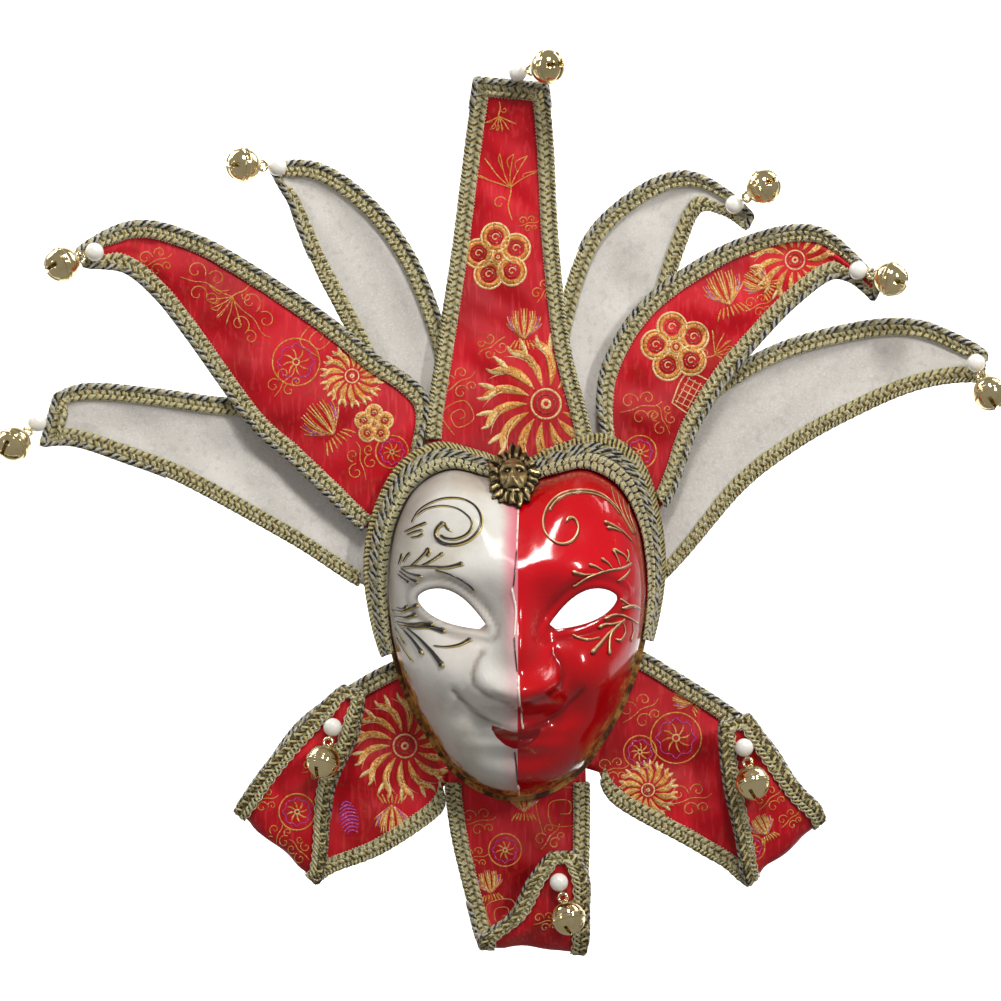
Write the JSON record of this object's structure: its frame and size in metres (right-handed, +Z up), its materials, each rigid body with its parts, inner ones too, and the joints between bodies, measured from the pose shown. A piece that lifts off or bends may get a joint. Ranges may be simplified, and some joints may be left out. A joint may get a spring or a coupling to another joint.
{
  "type": "jester mask",
  "caption": "Full-face carnival jester mask with a moulded two-tone face, fanned cloth points with woven edging, folded lower flaps, bells and pearls.",
  "frame": {"origin": "middle of the face shell's rim plane, where the wearer's face seats", "axes": "+X to the viewer's right when facing the mask, +Z up, -Y the way the mask looks, so +Y points at the wearer"},
  "size_m": [0.5426, 0.0899, 0.49],
  "materials": {
    "face_enamel": "glossy lacquer over a moulded shell, off-white on one half and red on the other",
    "gold_braid": "plaited metallic gold gimp with a twisted black and white cord",
    "bronze": "cast antique bronze with dark hollows",
    "red_brocade": "red satin brocade with woven gold flowers",
    "white_satin": "plain off-white cloth with a slight shimmer",
    "pearl": "pearly coated bead",
    "bell_brass": "bright polished pale gold plating"
  },
  "bodies": {
    "root": {"face_shell": "face_enamel", "forehead_braid": "gold_braid", "lion_brooch": "bronze", "top_point": "red_brocade", "top_point_edging": "gold_braid", "top_point_pearl": "pearl", "top_point_bell": "bell_brass", "upper_left_point": "white_satin", "upper_left_point_edging": "gold_braid", "upper_left_point_pearl": "pearl", "upper_left_point_bell": "bell_brass", "left_point": "red_brocade", "left_point_edging": "gold_braid", "left_point_pearl": "pearl", "left_point_bell": "bell_brass", "lower_left_point": "white_satin", "lower_left_point_edging": "gold_braid", "lower_left_point_pearl": "pearl", "lower_left_point_bell": "bell_brass", "upper_right_point": "white_satin", "upper_right_point_edging": "gold_braid", "upper_right_point_pearl": "pearl", "upper_right_point_bell": "bell_brass", "right_point": "red_brocade", "right_point_edging": "gold_braid", "right_point_pearl": "pearl", "right_point_bell": "bell_brass", "lower_right_point": "white_satin", "lower_right_point_edging": "gold_braid", "lower_right_point_pearl": "pearl", "lower_right_point_bell": "bell_brass", "left_flap": "red_brocade", "left_flap_edging": "gold_braid", "left_flap_pearl": "pearl", "left_flap_bell": "bell_brass", "centre_flap": "red_brocade", "centre_flap_edging": "gold_braid", "centre_flap_pearl": "pearl", "centre_flap_bell": "bell_brass", "right_flap": "red_brocade", "right_flap_edging": "gold_braid", "right_flap_pearl": "pearl", "right_flap_bell": "bell_brass"}
  },
  "joints": []
}
